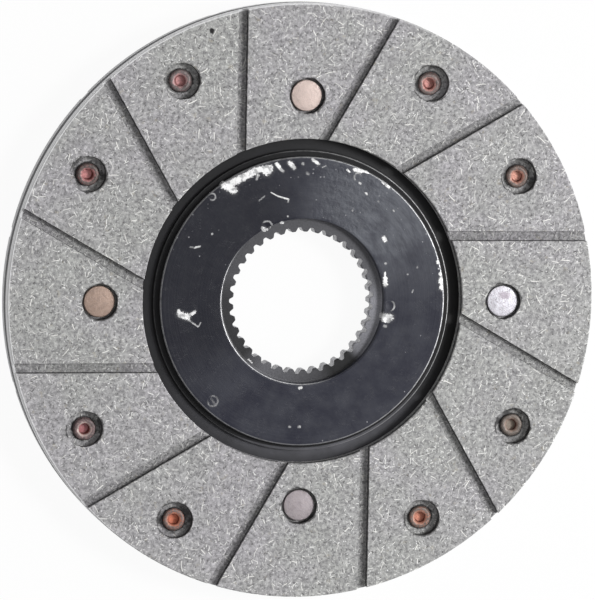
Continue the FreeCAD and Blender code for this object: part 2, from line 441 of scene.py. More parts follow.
def wear_group():
    """Fine grain, grime and scratches that every metal here shares."""
    group, given, result = shader_group(
        "metal_wear",
        (("Place", "Vector", None), ("Grain Size", "Float", 0.4), ("Scratches", "Float", 0.5)),
        (("Grain", "Float"), ("Grime", "Float"), ("Scratch", "Float")))
    place = given["Place"]
    size = 1.0 / given["Grain Size"]
    fine = grain(place, size, 4.0)
    grime = rise(grain(place, 0.35, 5.0, 0.65), 0.45, 0.7)
    bent = vector_calc("MULTIPLY", place, (0.25, 2.4, 1.0))
    lines = grain(bent, 1.6, 2.0, 0.4)
    ridge = abs(lines - 0.5)
    sparse = rise(grain(place, 0.3, 1.0), 0.5, 0.65)
    scratch = rise(ridge, 0.012, 0.0) * sparse * given["Scratches"]
    put(result, {"Grain": fine, "Grime": grime, "Scratch": scratch})
    return group


def fibre_group():
    """Short, slightly bowed fibres lying every way, at most one in each cell of a random tiling."""
    group, given, result = shader_group(
        "fibres",
        (("Place", "Vector", None), ("Cell", "Float", 2.0), ("Half Length", "Float", 1.0),
         ("Half Width", "Float", 0.1), ("Share", "Float", 0.5)),
        (("Mask", "Float"), ("Tone", "Float")))
    place = given["Place"]
    inputs = {"Vector": place, "Scale": 1.0 / given["Cell"]}
    cells = add(group, "ShaderNodeTexVoronoi", inputs, voronoi_dimensions="2D").outputs
    red, green, blue = add(group, "ShaderNodeSeparateColor", {0: cells["Color"]}).outputs
    x, y, _ = parts_of(vector_calc("SUBTRACT", place, cells["Position"]))
    turn = red * (2 * math.pi)
    sine, cosine = calc("SINE", turn), calc("COSINE", turn)
    along = x * cosine + y * sine
    across = y * cosine - x * sine
    bow = along * along * (green - 0.5)
    across = across + bow * 0.12
    length = given["Half Length"] * (green + 0.45)
    ends = rise(abs(along) / length, 1.0, 0.85)
    sides = rise(abs(across) / given["Half Width"], 1.0, 0.5)
    there = calc("LESS_THAN", blue, given["Share"])
    put(result, {"Mask": ends * sides * there, "Tone": calc("FRACT", blue * 13.7)})
    return group


metal_wear = wear_group()
fibres = fibre_group()

# Painted light on the land round the teeth: the angle in degrees from +x, and its grey
land_light_greys = ((0, 0.29), (14, 0.15), (30, 0.10), (90, 0.085), (160, 0.075), (178, 0.030), (222, 0.022),
              (240, 0.13), (258, 0.10), (285, 0.055), (295, 0.010), (313, 0.010), (320, 0.20), (360, 0.29))
# Painted light and shade on the step outside the boss, in the same way
step_light_greys = ((0, 0.004), (20, 0.005), (45, 0.014), (150, 0.020), (205, 0.030), (240, 0.055), (262, 0.090),
              (285, 0.095), (305, 0.085), (322, 0.025), (345, 0.004), (360, 0.004))


def by_angle(angle, stops):
    """A grey that changes round the axis; the stops are degrees from +x and greys."""
    ramp = add(angle.id_data, "ShaderNodeValToRGB", {0: calc("FRACT", angle / (2 * math.pi))})
    elements = ramp.color_ramp.elements
    while len(elements) < len(stops):
        elements.new(0.5)
    for element, (degrees, grey) in zip(elements, stops):
        element.position = degrees / 360
        element.color = (grey, grey, grey, 1)
    return ramp.outputs["Color"]


def core_steel_material():
    made, tree, shader = new_material("core_steel_painted")
    place = in_millimetres(tree)
    x, y, z = parts_of(place)
    flat = joined(x, y)
    radius = vector_calc("LENGTH", flat)
    angle = calc("ARCTAN2", y, x)
    height = z - mid_height
    above = abs(height)
    front = rise(height, 3.0, 3.05)
    wear = placed(metal_wear, {"Place": place, "Grain Size": 0.35, "Scratches": 0.6})

    # The named chips, each with a torn outline, and fine specks towards the rim of the boss
    torn = grain(flat, 1.7, 5.0, 0.75)
    wobble = (torn - 0.5) * 2.3
    closest = add(tree, "ShaderNodeAttribute", attribute_name="chip").outputs["Fac"]
    tone = add(tree, "ShaderNodeAttribute", attribute_name="chip_tone").outputs["Fac"]
    inward = closest + wobble
    chipped = rise(inward, -0.05, 0.12) * front
    specks = add(tree, "ShaderNodeTexVoronoi", {"Vector": flat, "Scale": 0.8},
                 voronoi_dimensions="2D").outputs
    lot = add(tree, "ShaderNodeSeparateColor", {0: specks["Color"]}).outputs
    crowding = rise(radius, 30.0, 47.0, 0.02, 0.13) * rise(y, 0.0, 28.0, 0.2, 1.0)
    rare = calc("LESS_THAN", lot[0], crowding)
    speck_size = 0.02 + lot[1] * lot[1] * 0.2
    speck_reach = specks["Distance"] + (torn - 0.5) * 0.5
    speck = calc("LESS_THAN", speck_reach, speck_size) * rare * front * (0.1 + lot[2] * 0.5)

    # Edges rubbed bare, and a painted highlight: the boss and shoulder corners most on the right, the recess
    # corner on the left, where they catch the light
    boss_edge = rise(radius, boss_radius - 0.6, boss_radius - 0.3) * rise(above, 4.8, 5.1)
    shoulder_edge = rise(radius, shoulder_radius - 0.4, shoulder_radius - 0.2) * rise(above, 2.9, 3.2)
    recess_edge = rise(radius, recess_radius + 0.45, recess_radius + 0.3) * rise(above, 5.2, 5.4)
    right_side = rise(calc("COSINE", angle + math.radians(-12)), -0.2, 0.9)
    left_side = rise(calc("COSINE", angle - math.radians(215)), 0.1, 0.7)
    rubbed_and_highlight = boss_edge * (0.4 + right_side * 0.6)
    rubbed_and_highlight = calc("MAXIMUM", rubbed_and_highlight, shoulder_edge * (0.1 + right_side * 0.9))
    rubbed_and_highlight = calc("MAXIMUM", rubbed_and_highlight, recess_edge * (left_side * 0.9))
    rubbed_and_highlight = rubbed_and_highlight * rise(grain(place, 0.5, 4.0, 0.6), 0.3, 0.55, 0.5, 1.0)

    # Bare by nature: the spline walls; the rim is bare too, but coloured dark
    bore = rise(radius, root_radius + 0.15, root_radius + 0.05) * rise(above, 2.75, 2.6)
    rim = rise(radius, 97.9, 98.1)
    bare = calc("MAXIMUM", calc("MAXIMUM", bore, rubbed_and_highlight), chipped)

    # The paint: bluish black; painted shade darkens it on the left, and a painted sheen in streaks and
    # flecks lightens it over the upper right
    on_boss = rise(above, 5.3, 5.5)
    turn_from_sheen = angle - math.radians(50)
    sheen_fan = rise(abs(turn_from_sheen), math.radians(48), math.radians(12))
    streak_place = joined(radius * 0.55, angle * 5.0)
    streaks = grain(streak_place, 1.0, 6.0, 0.68)
    cloud = grain(place, 0.11, 4.0, 0.6)
    sheen_fan = sheen_fan * on_boss * rise(cloud, 0.3, 0.6, 0.4, 1.0)
    turn_from_peel = angle - math.radians(66)
    peel = rise(abs(turn_from_peel), math.radians(26), math.radians(8)) * (on_boss * front)
    flecks = placed(fibres, {"Place": flat, "Cell": 2.1, "Half Length": 0.8, "Half Width": 0.32,
                             "Share": 0.55})
    mottle = grain(place, 0.12, 4.0, 0.6)
    fleck = flecks["Mask"] * peel * rise(torn, 0.4, 0.6)
    shaded = rise(calc("COSINE", angle - math.radians(155)), 0.2, 0.8)
    paint = blend(rise(mottle, 0.3, 0.7), (0.018, 0.019, 0.032, 1), (0.039, 0.041, 0.055, 1))
    paint = blend(shaded * 0.85, paint, (0.007, 0.0075, 0.014, 1))
    # Painted sheen: a paler grey in streaks over the upper right of the boss
    paint = blend(sheen_fan * rise(streaks, 0.3, 0.7, 0.3, 0.9), paint, (0.15, 0.158, 0.18, 1))
    paint = blend(fleck * 0.3, paint, (0.2, 0.2, 0.22, 1))
    paint = blend(wear["Grime"] * 0.12, paint, (0.055, 0.055, 0.06, 1))
    smear = rise(closest + wobble * 0.8, -0.9, 0.0, 0.0, 0.12)
    paint = blend(smear * front, paint, (0.28, 0.28, 0.29, 1))
    paint = blend(wear["Scratch"] * 0.25, paint, (0.2, 0.2, 0.21, 1))
    paint = blend(speck, paint, (0.6, 0.6, 0.62, 1))

    # Painted shade makes the step outside the boss nearly black, with a painted shadow by the boss wall;
    # painted light leaves it greyer on the plate itself at the left
    low = rise(radius, boss_radius - 0.2, boss_radius) * rise(above, 5.0, 4.7)
    to_left = rise(calc("COSINE", angle - math.radians(140)), -0.6, 0.2, 0.9, 2.3)
    past_boss = radius - (boss_radius + to_left)
    # Painted light round the axis, darker towards the lining's bore as painted shade
    step_light = by_angle(angle, step_light_greys) * rise(radius, 53.5, 50.0, 0.55, 1.0)
    step_light = step_light * rise(mottle, 0.3, 0.7, 0.8, 1.2)
    step_light = joined(step_light, step_light, step_light * 1.12)
    step_shade = blend(rise(past_boss, -0.2, 0.3), (0.003, 0.003, 0.004, 1), step_light)
    paint = blend(low, paint, step_shade)
    paint = blend(rim, paint, blend(wear["Grime"], (0.03, 0.03, 0.034, 1), (0.1, 0.1, 0.11, 1)))

    # The land round the teeth is dull worn steel, with painted light brightest on the right, its tooth edges
    # dark
    land = rise(radius, recess_radius + 0.1, recess_radius - 0.1) * rise(above, 3.6, 3.4)
    land_light = by_angle(angle, land_light_greys) * rise(wear["Grain"], 0.2, 0.8, 0.75, 1.25)
    tooth_edge = rise(above, 3.09, 3.0) * rise(radius, 23.3, 23.8)
    land_light = land_light * (1.0 - tooth_edge * 0.75)
    paint = blend(land, paint, joined(land_light, land_light, land_light * 1.1))

    # The steel: grimy in the bore, bright and faceted where the paint has chipped off
    steel = blend(wear["Grain"], (0.44, 0.44, 0.45, 1), (0.76, 0.76, 0.77, 1))
    steel = blend(bore * 0.6, steel, (0.4, 0.4, 0.43, 1))
    grimy = rise(grain(joined(angle * 24.0, z * 0.3), 1.6, 3.0), 0.45, 0.7)
    steel = blend(grimy * bore * 0.8, steel, (0.09, 0.085, 0.09, 1))
    steel = blend(wear["Grime"] * 0.3, steel, (0.17, 0.16, 0.15, 1))
    facets = rise(grain(flat, 0.55, 2.0, 0.5), 0.36, 0.52, 0.45, 1.0)
    facets = facets * rise(inward, 0.05, 0.35, 0.6, 1.0)
    laid_bare = blend(tone * facets, (0.06, 0.06, 0.07, 1), (0.93, 0.93, 0.93, 1))
    steel = blend(chipped, steel, laid_bare)
    metallic = bare * (0.95 - chipped * 0.75) * (1.0 - bore * 0.5)
    dull = 0.26 + mottle * 0.16 + (sheen_fan + (land + low)) * 0.25
    rough = (1.0 - bare) * dull + bare * (0.3 + wear["Grain"] * 0.25)
    glossy = 1.0 - calc("MAXIMUM", bare, low)
    put(shader, {"Base Color": blend(bare, paint, steel), "Metallic": metallic, "Roughness": rough,
                 "Coat Weight": glossy * 0.2, "Coat Roughness": 0.15, "Specular IOR Level": 0.25})

    # Relief in millimetres: turning rings under the paint, orange peel, flecks, and chips let in
    rings = grain(joined(radius * 1.6, 0.0), 1.0, 3.0, 0.6, "2D")
    orange_peel = grain(place, 0.9, 3.0, 0.5) * (0.03 + peel * 0.22)
    relief = rings * on_boss * 0.03 + orange_peel + wear["Grain"] * 0.006
    relief = relief - chipped * 0.08 + chipped * facets * 0.05
    emboss(shader, relief - fleck * 0.04 - wear["Scratch"] * 0.02)
    return made


core_plate = drilled_plate()
mark_chips(core_plate.data)
smooth(core_plate, 38)
core_plate.data.materials.clear()
core_plate.data.materials.append(core_steel_material())
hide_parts("core_plate")
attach(core_plate, "root")

# Friction linings
# Two rings of moulded friction composite, one riveted to each face of the plate. The mould gives
# the slanted grooves and the counterbores; their edges crumble. Chopped pale fibres lie in it.
lining_bore = 53.7
lining_thickness = 4.4
groove_width = 3.1
groove_depth = 2.0
groove_offset = 21.8
groove_corner = 0.5
groove_start, groove_run = 46.0, 54.0
groove_flare = 0.35
lining_edge = 0.28
cutter_overshoot = 0.5
lining_steps, plug_steps = 720, 96
counterbore_radius = 5.9
web_thickness = 1.5


def shape_tree(name, inputs):
    """A geometry tree with named inputs; returns it with its input and output nodes."""
    tree = bpy.data.node_groups.new(name, "GeometryNodeTree")
    for label, kind, value in inputs:
        socket = tree.interface.new_socket(label, in_out="INPUT", socket_type="NodeSocket" + kind)
        if value is not None:
            socket.default_value = value
    tree.interface.new_socket("Geometry", in_out="OUTPUT", socket_type="NodeSocketGeometry")
    return tree, tree.nodes.new("NodeGroupInput").outputs, tree.nodes.new("NodeGroupOutput")


def chosen(index, kind, values):
    """The value at an index."""
    switch = add(index.id_data, "GeometryNodeIndexSwitch", data_type=kind)
    while len(switch.index_switch_items) < len(values):
        switch.index_switch_items.new()
    put(switch, enumerate((index, *values)))
    return switch.outputs[0]


def outline_curve(tree, corners):
    """A poly line through corners given as (radius, height, rounding), each value or socket."""
    line = add(tree, "GeometryNodeMeshLine", {"Count": len(corners)}).outputs["Mesh"]
    index = add(tree, "GeometryNodeInputIndex").outputs[0]
    spots = [add(tree, "ShaderNodeCombineXYZ", {0: radius, 1: height}).outputs[0]
             for radius, height, _ in corners]
    rounding = chosen(index, "FLOAT", [corner for _, _, corner in corners])
    line = moved(line, chosen(index, "VECTOR", spots))
    curve = add(tree, "GeometryNodeMeshToCurve", {"Mesh": line}).outputs[0]
    inputs = {"Curve": curve, "Radius": rounding, "Count": 4, "Limit Radius": True}
    return add(tree, "GeometryNodeFilletCurve", inputs, mode="POLY").outputs[0]


def turned(outline, steps):
    """A closed surface of revolution about Z from an open outline that starts and ends on the axis."""
    tree = outline.id_data
    circle_radius = 1.0
    inputs = {"Geometry": outline, "Translation": (-circle_radius, 0, 0), "Scale": (1, -1, 1)}
    shift = add(tree, "GeometryNodeTransform", inputs).outputs[0]
    inputs = {"Resolution": steps, "Radius": circle_radius}
    circle = add(tree, "GeometryNodeCurvePrimitiveCircle", inputs).outputs[0]
    swept = add(tree, "GeometryNodeCurveToMesh", {"Curve": circle, "Profile Curve": shift}).outputs[0]
    swept = add(tree, "GeometryNodeFlipFaces", {"Mesh": swept}).outputs[0]
    return add(tree, "GeometryNodeMergeByDistance", {"Geometry": swept, "Distance": 0.0005}).outputs[0]


def radial(place):
    """Distance from the axis and the direction away from it."""
    flat = vector_calc("MULTIPLY", place, (1.0, 1.0, 0.0))
    return vector_calc("LENGTH", flat), vector_calc("NORMALIZE", flat)


def uneven(place, scale, reach):
    """A value between minus reach and plus reach that wanders over the surface."""
    return (grain(place, scale, 3.0, 0.6) - 0.5) * (reach * 3.2)


def turned_about(vector, angle):
    inputs = {"Vector": vector, "Angle": angle}
    return add(vector.id_data, "ShaderNodeVectorRotate", inputs, rotation_type="Z_AXIS").outputs[0]


def repeated(mesh, count):
    """As many copies of a mesh as the count, with the copy's number as an attribute."""
    tree = mesh.id_data
    line = add(tree, "GeometryNodeMeshLine", {"Count": count, "Offset": (0, 0, 0)}).outputs["Mesh"]
    inputs = {"Geometry": line, "Name": "copy", "Value": add(tree, "GeometryNodeInputIndex").outputs[0]}
    line = add(tree, "GeometryNodeStoreNamedAttribute", inputs, data_type="INT").outputs[0]
    spread = add(tree, "GeometryNodeInstanceOnPoints", {"Points": line, "Instance": mesh}).outputs[0]
    single = add(tree, "GeometryNodeRealizeInstances", {"Geometry": spread}).outputs[0]
    number = add(tree, "GeometryNodeInputNamedAttribute", {"Name": "copy"}, data_type="INT").outputs[0]
    return single, number


def moved(geometry, position):
    inputs = {"Geometry": geometry, "Position": position}
    return add(geometry.id_data, "GeometryNodeSetPosition", inputs).outputs[0]


def groove_cutters(tree, given):
    """One ragged-sided trough for each groove."""
    length_steps, rows = 130, 6
    inputs = {"Size": (1, 1, 1), "Vertices X": 4, "Vertices Y": length_steps, "Vertices Z": rows}
    box = add(tree, "GeometryNodeMeshCube", inputs).outputs["Mesh"]
    box, number = repeated(box, given["Copies"])
    across, along, up = parts_of(add(tree, "GeometryNodeInputPosition").outputs[0])
    row = calc("ROUND", (up + 0.5) * (rows - 1.0))
    top, corner = given["Thickness"], given["Groove Corner"]
    floor = top - given["Groove Depth"]
    heights = (floor, floor + corner * 0.3, floor + corner, floor + 1.2, top - 0.3, top + cutter_overshoot)
    half = given["Groove Width"] * 0.5
    widths = (half - corner, half - corner * 0.3, half, half, half, half + groove_flare)
    height = chosen(row, "FLOAT", heights)
    width = chosen(row, "FLOAT", widths)
    roughness = chosen(row, "FLOAT", (0.3, 0.4, 0.5, 0.6, 1.0, 1.0)) * given["Ragged"]
    run = (along + 0.5) * groove_run + groove_start
    seed = number * 23.7 + given["Seed"] + calc("SIGN", across) * 5.0
    wander = uneven(joined(seed, run, row * 0.35), 0.85, roughness)
    x = across * 2.0 * width + wander * (across * 2.0) - given["Groove Offset"]
    turn = number * (2 * math.pi / given["Copies"])
    return moved(box, turned_about(joined(x, run, height), turn))


def hole_cutters(tree, given):
    """One stepped plug for each rivet: the shank hole below, the counterbore with its torn rim above."""
    bore, web, top = given["Counterbore Radius"], given["Web Thickness"], given["Thickness"]
    corners = [(0, -1, 0), (given["Hole Radius"], -1, 0), (given["Hole Radius"], web, 0), (bore, web, 0),
               (bore, top - 1.2, 0), (bore, top - 0.35, 0), (bore + 0.05, top - 0.1, 0),
               (bore + 0.3, top + cutter_overshoot, 0), (0, top + cutter_overshoot, 0)]
    plug = turned(outline_curve(tree, corners), plug_steps)
    plug, number = repeated(plug, given["Copies"])
    place = add(tree, "GeometryNodeInputPosition").outputs[0]
    reach, away = radial(place)
    _, _, height = parts_of(place)
    wall = calc("GREATER_THAN", reach, 4.0)
    near_top = rise(height, 1.6, 4.3, 0.15, 1.0)
    seed = joined(number * 11.3, given["Seed"], number * 3.1)
    wander = uneven(vector_calc("ADD", place, seed), 0.7, given["Ragged"] * 1.2)
    pushed = scaled(away, wander * wall * near_top)
    inner = calc("COMPARE", calc("MODULO", number, 3.0), 0.0, 0.1)
    circle = given["Outer Circle"] + (given["Inner Circle"] - given["Outer Circle"]) * inner
    shifted = vector_calc("ADD", vector_calc("ADD", place, pushed), joined(circle, 0.0))
    turn = number * (2 * math.pi / given["Copies"])
    return moved(plug, turned_about(shifted, turn))


def hand_out(geometry, given, result):
    """Gives a shape its material and hands it out of its tree."""
    tree = geometry.id_data
    whole = add(tree, "GeometryNodeRealizeInstances", {"Geometry": geometry}).outputs[0]
    inputs = {"Geometry": whole, "Material": given["Material"]}
    put(result, {0: add(tree, "GeometryNodeSetMaterial", inputs).outputs[0]})


def lining_tree():
    tree, given, result = shape_tree("friction_lining", (
        ("Bore Radius", "Float", lining_bore), ("Outer Radius", "Float", outer_radius),
        ("Thickness", "Float", lining_thickness), ("Groove Width", "Float", groove_width),
        ("Groove Depth", "Float", groove_depth), ("Groove Offset", "Float", groove_offset),
        ("Groove Corner", "Float", groove_corner), ("Counterbore Radius", "Float", counterbore_radius),
        ("Web Thickness", "Float", web_thickness), ("Hole Radius", "Float", shank_hole_radius),
        ("Outer Circle", "Float", outer_rivet_circle), ("Inner Circle", "Float", inner_rivet_circle),
        ("Copies", "Int", rivet_count), ("Ragged", "Float", 0.14), ("Seed", "Float", 1.0),
        ("Material", "Material", None)))
    top, outer, bore = given["Thickness"], given["Outer Radius"], given["Bore Radius"]
    edge = top - lining_edge
    corners = [(bore, 0, 0), (outer, 0, 0), (outer, edge, 0), (outer - lining_edge, top, 0),
               (bore + lining_edge, top, 0), (bore, edge, 0), (bore, 0, 0)]
    ring = turned(outline_curve(tree, corners), lining_steps)
    place = add(tree, "GeometryNodeInputPosition").outputs[0]
    reach, away = radial(place)
    side = calc("SIGN", (outer + bore) * 0.5 - reach)
    _, _, height = parts_of(place)
    worn = grain(place, 0.8, 3.0, 0.6) * calc("GREATER_THAN", height, 1.0) * given["Ragged"] * side
    ring = moved(ring, vector_calc("ADD", place, scaled(away, worn)))
    cut = tree.nodes.new("GeometryNodeMeshBoolean")
    cut.operation = "DIFFERENCE"
    cut.solver = "EXACT"
    tree.links.new(ring, cut.inputs["Mesh 1"])
    tree.links.new(groove_cutters(tree, given), cut.inputs["Mesh 2"])
    tree.links.new(hole_cutters(tree, given), cut.inputs["Mesh 2"])
    hand_out(cut.outputs[0], given, result)
    return tree


def grow(tree, name, values, place):
    """The plain mesh piece that a geometry tree gives with these values, put in its place."""
    piece = link(bpy.data.meshes.new(name), name)
    modifier = piece.modifiers.new("shape", "NODES")
    modifier.node_group = tree
    for item in tree.interface.items_tree:
        if item.in_out == "INPUT" and item.name in values:
            modifier[item.identifier] = values[item.name]
    flatten(piece)
    piece.data.transform(Matrix.Scale(MILLIMETRE, 4) @ place)
    outward(piece.data)
    return piece


# A small black pock in the front face, near the rim
pock_place = (-32.3, 88.8, 13.0)

# Fibre layers: cell size, half length, half width (millimetres), share of cells, strength, colour
fibre_layers = (
    (1.2, 0.50, 0.13, 0.7, 0.50, (0.13, 0.128, 0.132, 1)),
    (1.1, 0.50, 0.10, 0.8, 0.30, (0.74, 0.73, 0.73, 1)),
    (0.9, 0.24, 0.15, 0.40, 0.60, (0.90, 0.90, 0.90, 1)),
    (1.5, 0.26, 0.20, 0.40, 0.90, (1.0, 1.0, 1.0, 1)),
    (1.9, 0.80, 0.15, 0.52, 1.00, (0.96, 0.96, 0.93, 1)),
    (3.4, 1.30, 0.18, 0.50, 1.00, (1.0, 0.99, 0.95, 1)),
)


def surface_flat(place):
    """Two coordinates that follow the face: x and y on it, the way round and up on its walls.

    Returns them with the radius, the angle, the height and whether the surface is level.
    """
    x, y, z = parts_of(place)
    radius = vector_calc("LENGTH", joined(x, y))
    angle = calc("ARCTAN2", y, x)
    normal = add(place.id_data, "ShaderNodeTexCoord").outputs["Normal"]
    level = calc("GREATER_THAN", abs(parts_of(normal)[2]), 0.6)
    wall = joined(angle * 90.0, z + radius)
    inputs = {0: level, 4: wall, 5: joined(x, y)}
    flat = add(place.id_data, "ShaderNodeMix", inputs, data_type="VECTOR").outputs[1]
    return flat, radius, angle, z, level


def rivet_reach(radius, angle):
    """Distance from the nearest rivet's axis, the twelve places folded into one."""
    step = 2 * math.pi / rivet_count
    nearest = calc("ROUND", angle / step)
    folded = angle - nearest * step
    inner = calc("COMPARE", calc("FLOORED_MODULO", nearest, 3.0), 0.0, 0.1)
    circle = outer_rivet_circle - inner * (outer_rivet_circle - inner_rivet_circle)
    local_x = radius * calc("COSINE", folded) - circle
    local_y = radius * calc("SINE", folded)
    return vector_calc("LENGTH", joined(local_x, local_y))


def lining_material():
    made, tree, shader = new_material("friction_composite")
    place = in_millimetres(tree)
    flat, radius, angle, z, level = surface_flat(place)
    depth = mid_height - abs(z - mid_height)

    # The body: mottled grey, leaning to violet here and to green there, with tan spots
    coarse = grain(place, 0.16, 4.0, 0.6)
    middle = grain(place, 0.9, 4.0, 0.65)
    fine = grain(place, 3.2, 3.0, 0.7)
    hue = rise(grain(place, 0.03, 3.0, 0.6), 0.35, 0.65)
    tone = middle * 0.7 + fine * 0.3
    pale = blend(hue, (0.62, 0.6, 0.63, 1), (0.61, 0.615, 0.595, 1))
    body = blend(rise(tone, 0.3, 0.7), (0.165, 0.163, 0.17, 1), pale)
    body = blend(rise(coarse, 0.35, 0.75, 0.0, 0.35), body, (0.3, 0.295, 0.295, 1))
    body = blend(rise(grain(place, 0.5, 2.0, 0.5), 0.66, 0.74, 0.0, 0.4), body, (0.4, 0.36, 0.28, 1))
    height = (middle + fine) * 0.04

    # The fibres, thicker in some places than in others
    crowd = rise(grain(place, 0.14, 3.0, 0.6), 0.36, 0.62, 0.45, 1.0)
    for number, (cell, half_length, half_width, share, strength, colour) in enumerate(fibre_layers):
        layer_place = vector_calc("ADD", flat, (number * 71.3, number * 37.9, 0.0))
        layer = placed(fibres, {"Place": layer_place, "Cell": cell, "Half Length": half_length,
                                "Half Width": half_width, "Share": share})
        shade = crowd * (strength * rise(layer["Tone"], 0.0, 1.0, 0.35, 1.0))
        shown = layer["Mask"] * shade
        body = blend(shown, body, colour)
        height = height + shown * 0.02
    specks = placed(fibres, {"Place": vector_calc("ADD", flat, (311.0, 97.0, 0.0)), "Cell": 1.7,
                             "Half Length": 0.34, "Half Width": 0.22, "Share": 0.4})
    body = blend(specks["Mask"] * 0.7, body, (0.1, 0.098, 0.095, 1))
    height = height - specks["Mask"] * 0.04

    # Groove floors are soiled a little; their walls and the bore's wall are darkened more as painted shade;
    # counterbore floors not
    sunk = rise(depth, 0.12, 0.45) * rise(radius, 98.25, 98.0)
    soil = blend(fine, (0.025, 0.025, 0.027, 1), (0.07, 0.07, 0.072, 1))
    share = (0.9 - level * 0.61) * rise(depth, 2.2, 2.6, 1.0, 0.0) * rise(middle, 0.3, 0.7, 1.15, 0.75)
    body = blend(sunk * share, body, soil)

    # Painted light: the outer wall is made pale, and the face's outermost edge at the left has a painted
    # highlight
    outer_wall = rise(radius, 98.0, 98.2) * (1.0 - level)
    body = blend(outer_wall * 0.85, body, (0.92, 0.92, 0.93, 1))
    to_left = rise(calc("COSINE", angle - math.radians(150)), -0.1, 0.5)
    edge_highlight = rise(radius, 97.6, 97.9, 0.0, 0.7) * to_left
    body = blend(edge_highlight, body, (0.9, 0.9, 0.91, 1))

    # Black dust and painted shade fill the foot of each counterbore, by its wall and round the roll; dust
    # stains its rim here and there
    reach = rivet_reach(radius, angle) + (middle - 0.5) * 1.2
    at_wall = rise(reach, 5.6, 6.0, 0.0, 0.25)
    at_roll = rise(reach, 4.35, 3.9)
    packed_dust_and_shade = calc("MAXIMUM", at_wall, at_roll) * (rise(depth, 1.2, 2.4) * rise(reach, 7.5, 7.0))
    stained = rise(reach, 6.9, 6.2) * rise(coarse, 0.52, 0.66, 0.0, 0.75)
    crumbled = rise(abs(reach - 6.05), 0.35, 0.1) * rise(coarse, 0.42, 0.56, 0.0, 0.85)
    soot_and_shade = calc("MAXIMUM", packed_dust_and_shade * 0.9, calc("MAXIMUM", stained, crumbled))
    pock = vector_calc("LENGTH", vector_calc("SUBTRACT", place, pock_place))
    soot_and_shade = calc("MAXIMUM", soot_and_shade, rise(pock + middle, 1.6, 1.1))
    body = blend(soot_and_shade, body, (0.022, 0.021, 0.022, 1))
    put(shader, {"Base Color": body, "Roughness": 0.78 + fine * 0.2, "Specular IOR Level": 0.3})
    emboss(shader, height)
    return made


composite = lining_material()
moulding = lining_tree()
front_place = Matrix.Translation((0, 0, mid_height + plate_half))
half_turn = Matrix.Rotation(math.pi, 4, "X")
turned_over = Matrix.Translation((0, 0, mid_height)) @ half_turn @ Matrix.Translation((0, 0, plate_half))
for node_name, place, seed in (("lining_front", front_place, 1.0), ("lining_rear", turned_over, 8.0)):
    lining = grow(moulding, node_name + "_detail", {"Material": composite, "Seed": seed}, place)
    smooth(lining, 32)
    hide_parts(node_name)
    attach(lining, "root")

# Rivets
# Twelve semi-tubular copper rivets hold the three together. Four were put in from the front and show
# flat heads; eight came from the rear and show their hollow ends, rolled over in the counterbores.
rivet_sizes = {
    "Head Radius": 5.2, "Head Thickness": 1.5, "Head Edge": 0.4, "Shank Radius": 2.4, "Half Grip": 3.6,
    "Roll Radius": 3.7, "Roll Height": 1.3, "Roll Edge": 0.74, "Roll Toe": 0.26, "Mouth": 0.88,
    "Hollow Radius": 1.75, "Hollow Depth": 0.9,
}
rivet_steps = 64


def rivet_tree():
    inputs = [(name, "Float", size) for name, size in rivet_sizes.items()]
    inputs += [("Shift", "Vector", (0, 0, 0)), ("Seed", "Float", 0.0), ("Material", "Material", None)]
    tree, given, result = shape_tree("semi_tubular_rivet", inputs)
    seat = given["Half Grip"]
    under = seat * -1.0
    head_face = under - given["Head Thickness"]
    crest = seat + given["Roll Height"]
    hollow_floor = seat - given["Hollow Depth"]
    head, shank, roll, hollow = (given[part + " Radius"] for part in ("Head", "Shank", "Roll", "Hollow"))
    corners = [
        (0, head_face, 0), (head, head_face, given["Head Edge"]), (head, under, 0), (shank, under, 0),
        (shank, seat, 0), (roll, seat, given["Roll Toe"]), (roll, crest, given["Roll Edge"]),
        (hollow, crest, given["Mouth"]), (hollow, hollow_floor, 0), (0, hollow_floor, 0),
    ]
    body = turned(outline_curve(tree, corners), rivet_steps)
    place = add(tree, "GeometryNodeInputPosition").outputs[0]
    inputs = {"Geometry": body, "Name": "rivet_place", "Value": place}
    body = add(tree, "GeometryNodeStoreNamedAttribute", inputs, data_type="FLOAT_VECTOR").outputs[0]
    reach, away = radial(place)
    _, _, height = parts_of(place)
    spot = vector_calc("ADD", place, joined(given["Seed"] * 7.7, given["Seed"]))
    loose = rise(height - seat, 0.05, 0.6)
    swell = scaled(away, uneven(spot, 0.45, 0.16) * loose)
    slide = scaled(given["Shift"], loose)
    lift = uneven(spot, 0.3, 0.12) * loose
    offset = vector_calc("ADD", vector_calc("ADD", swell, slide), joined(0.0, 0.0, lift))
    body = add(tree, "GeometryNodeSetPosition", {"Geometry": body, "Offset": offset}).outputs[0]
    hand_out(body, given, result)
    return tree


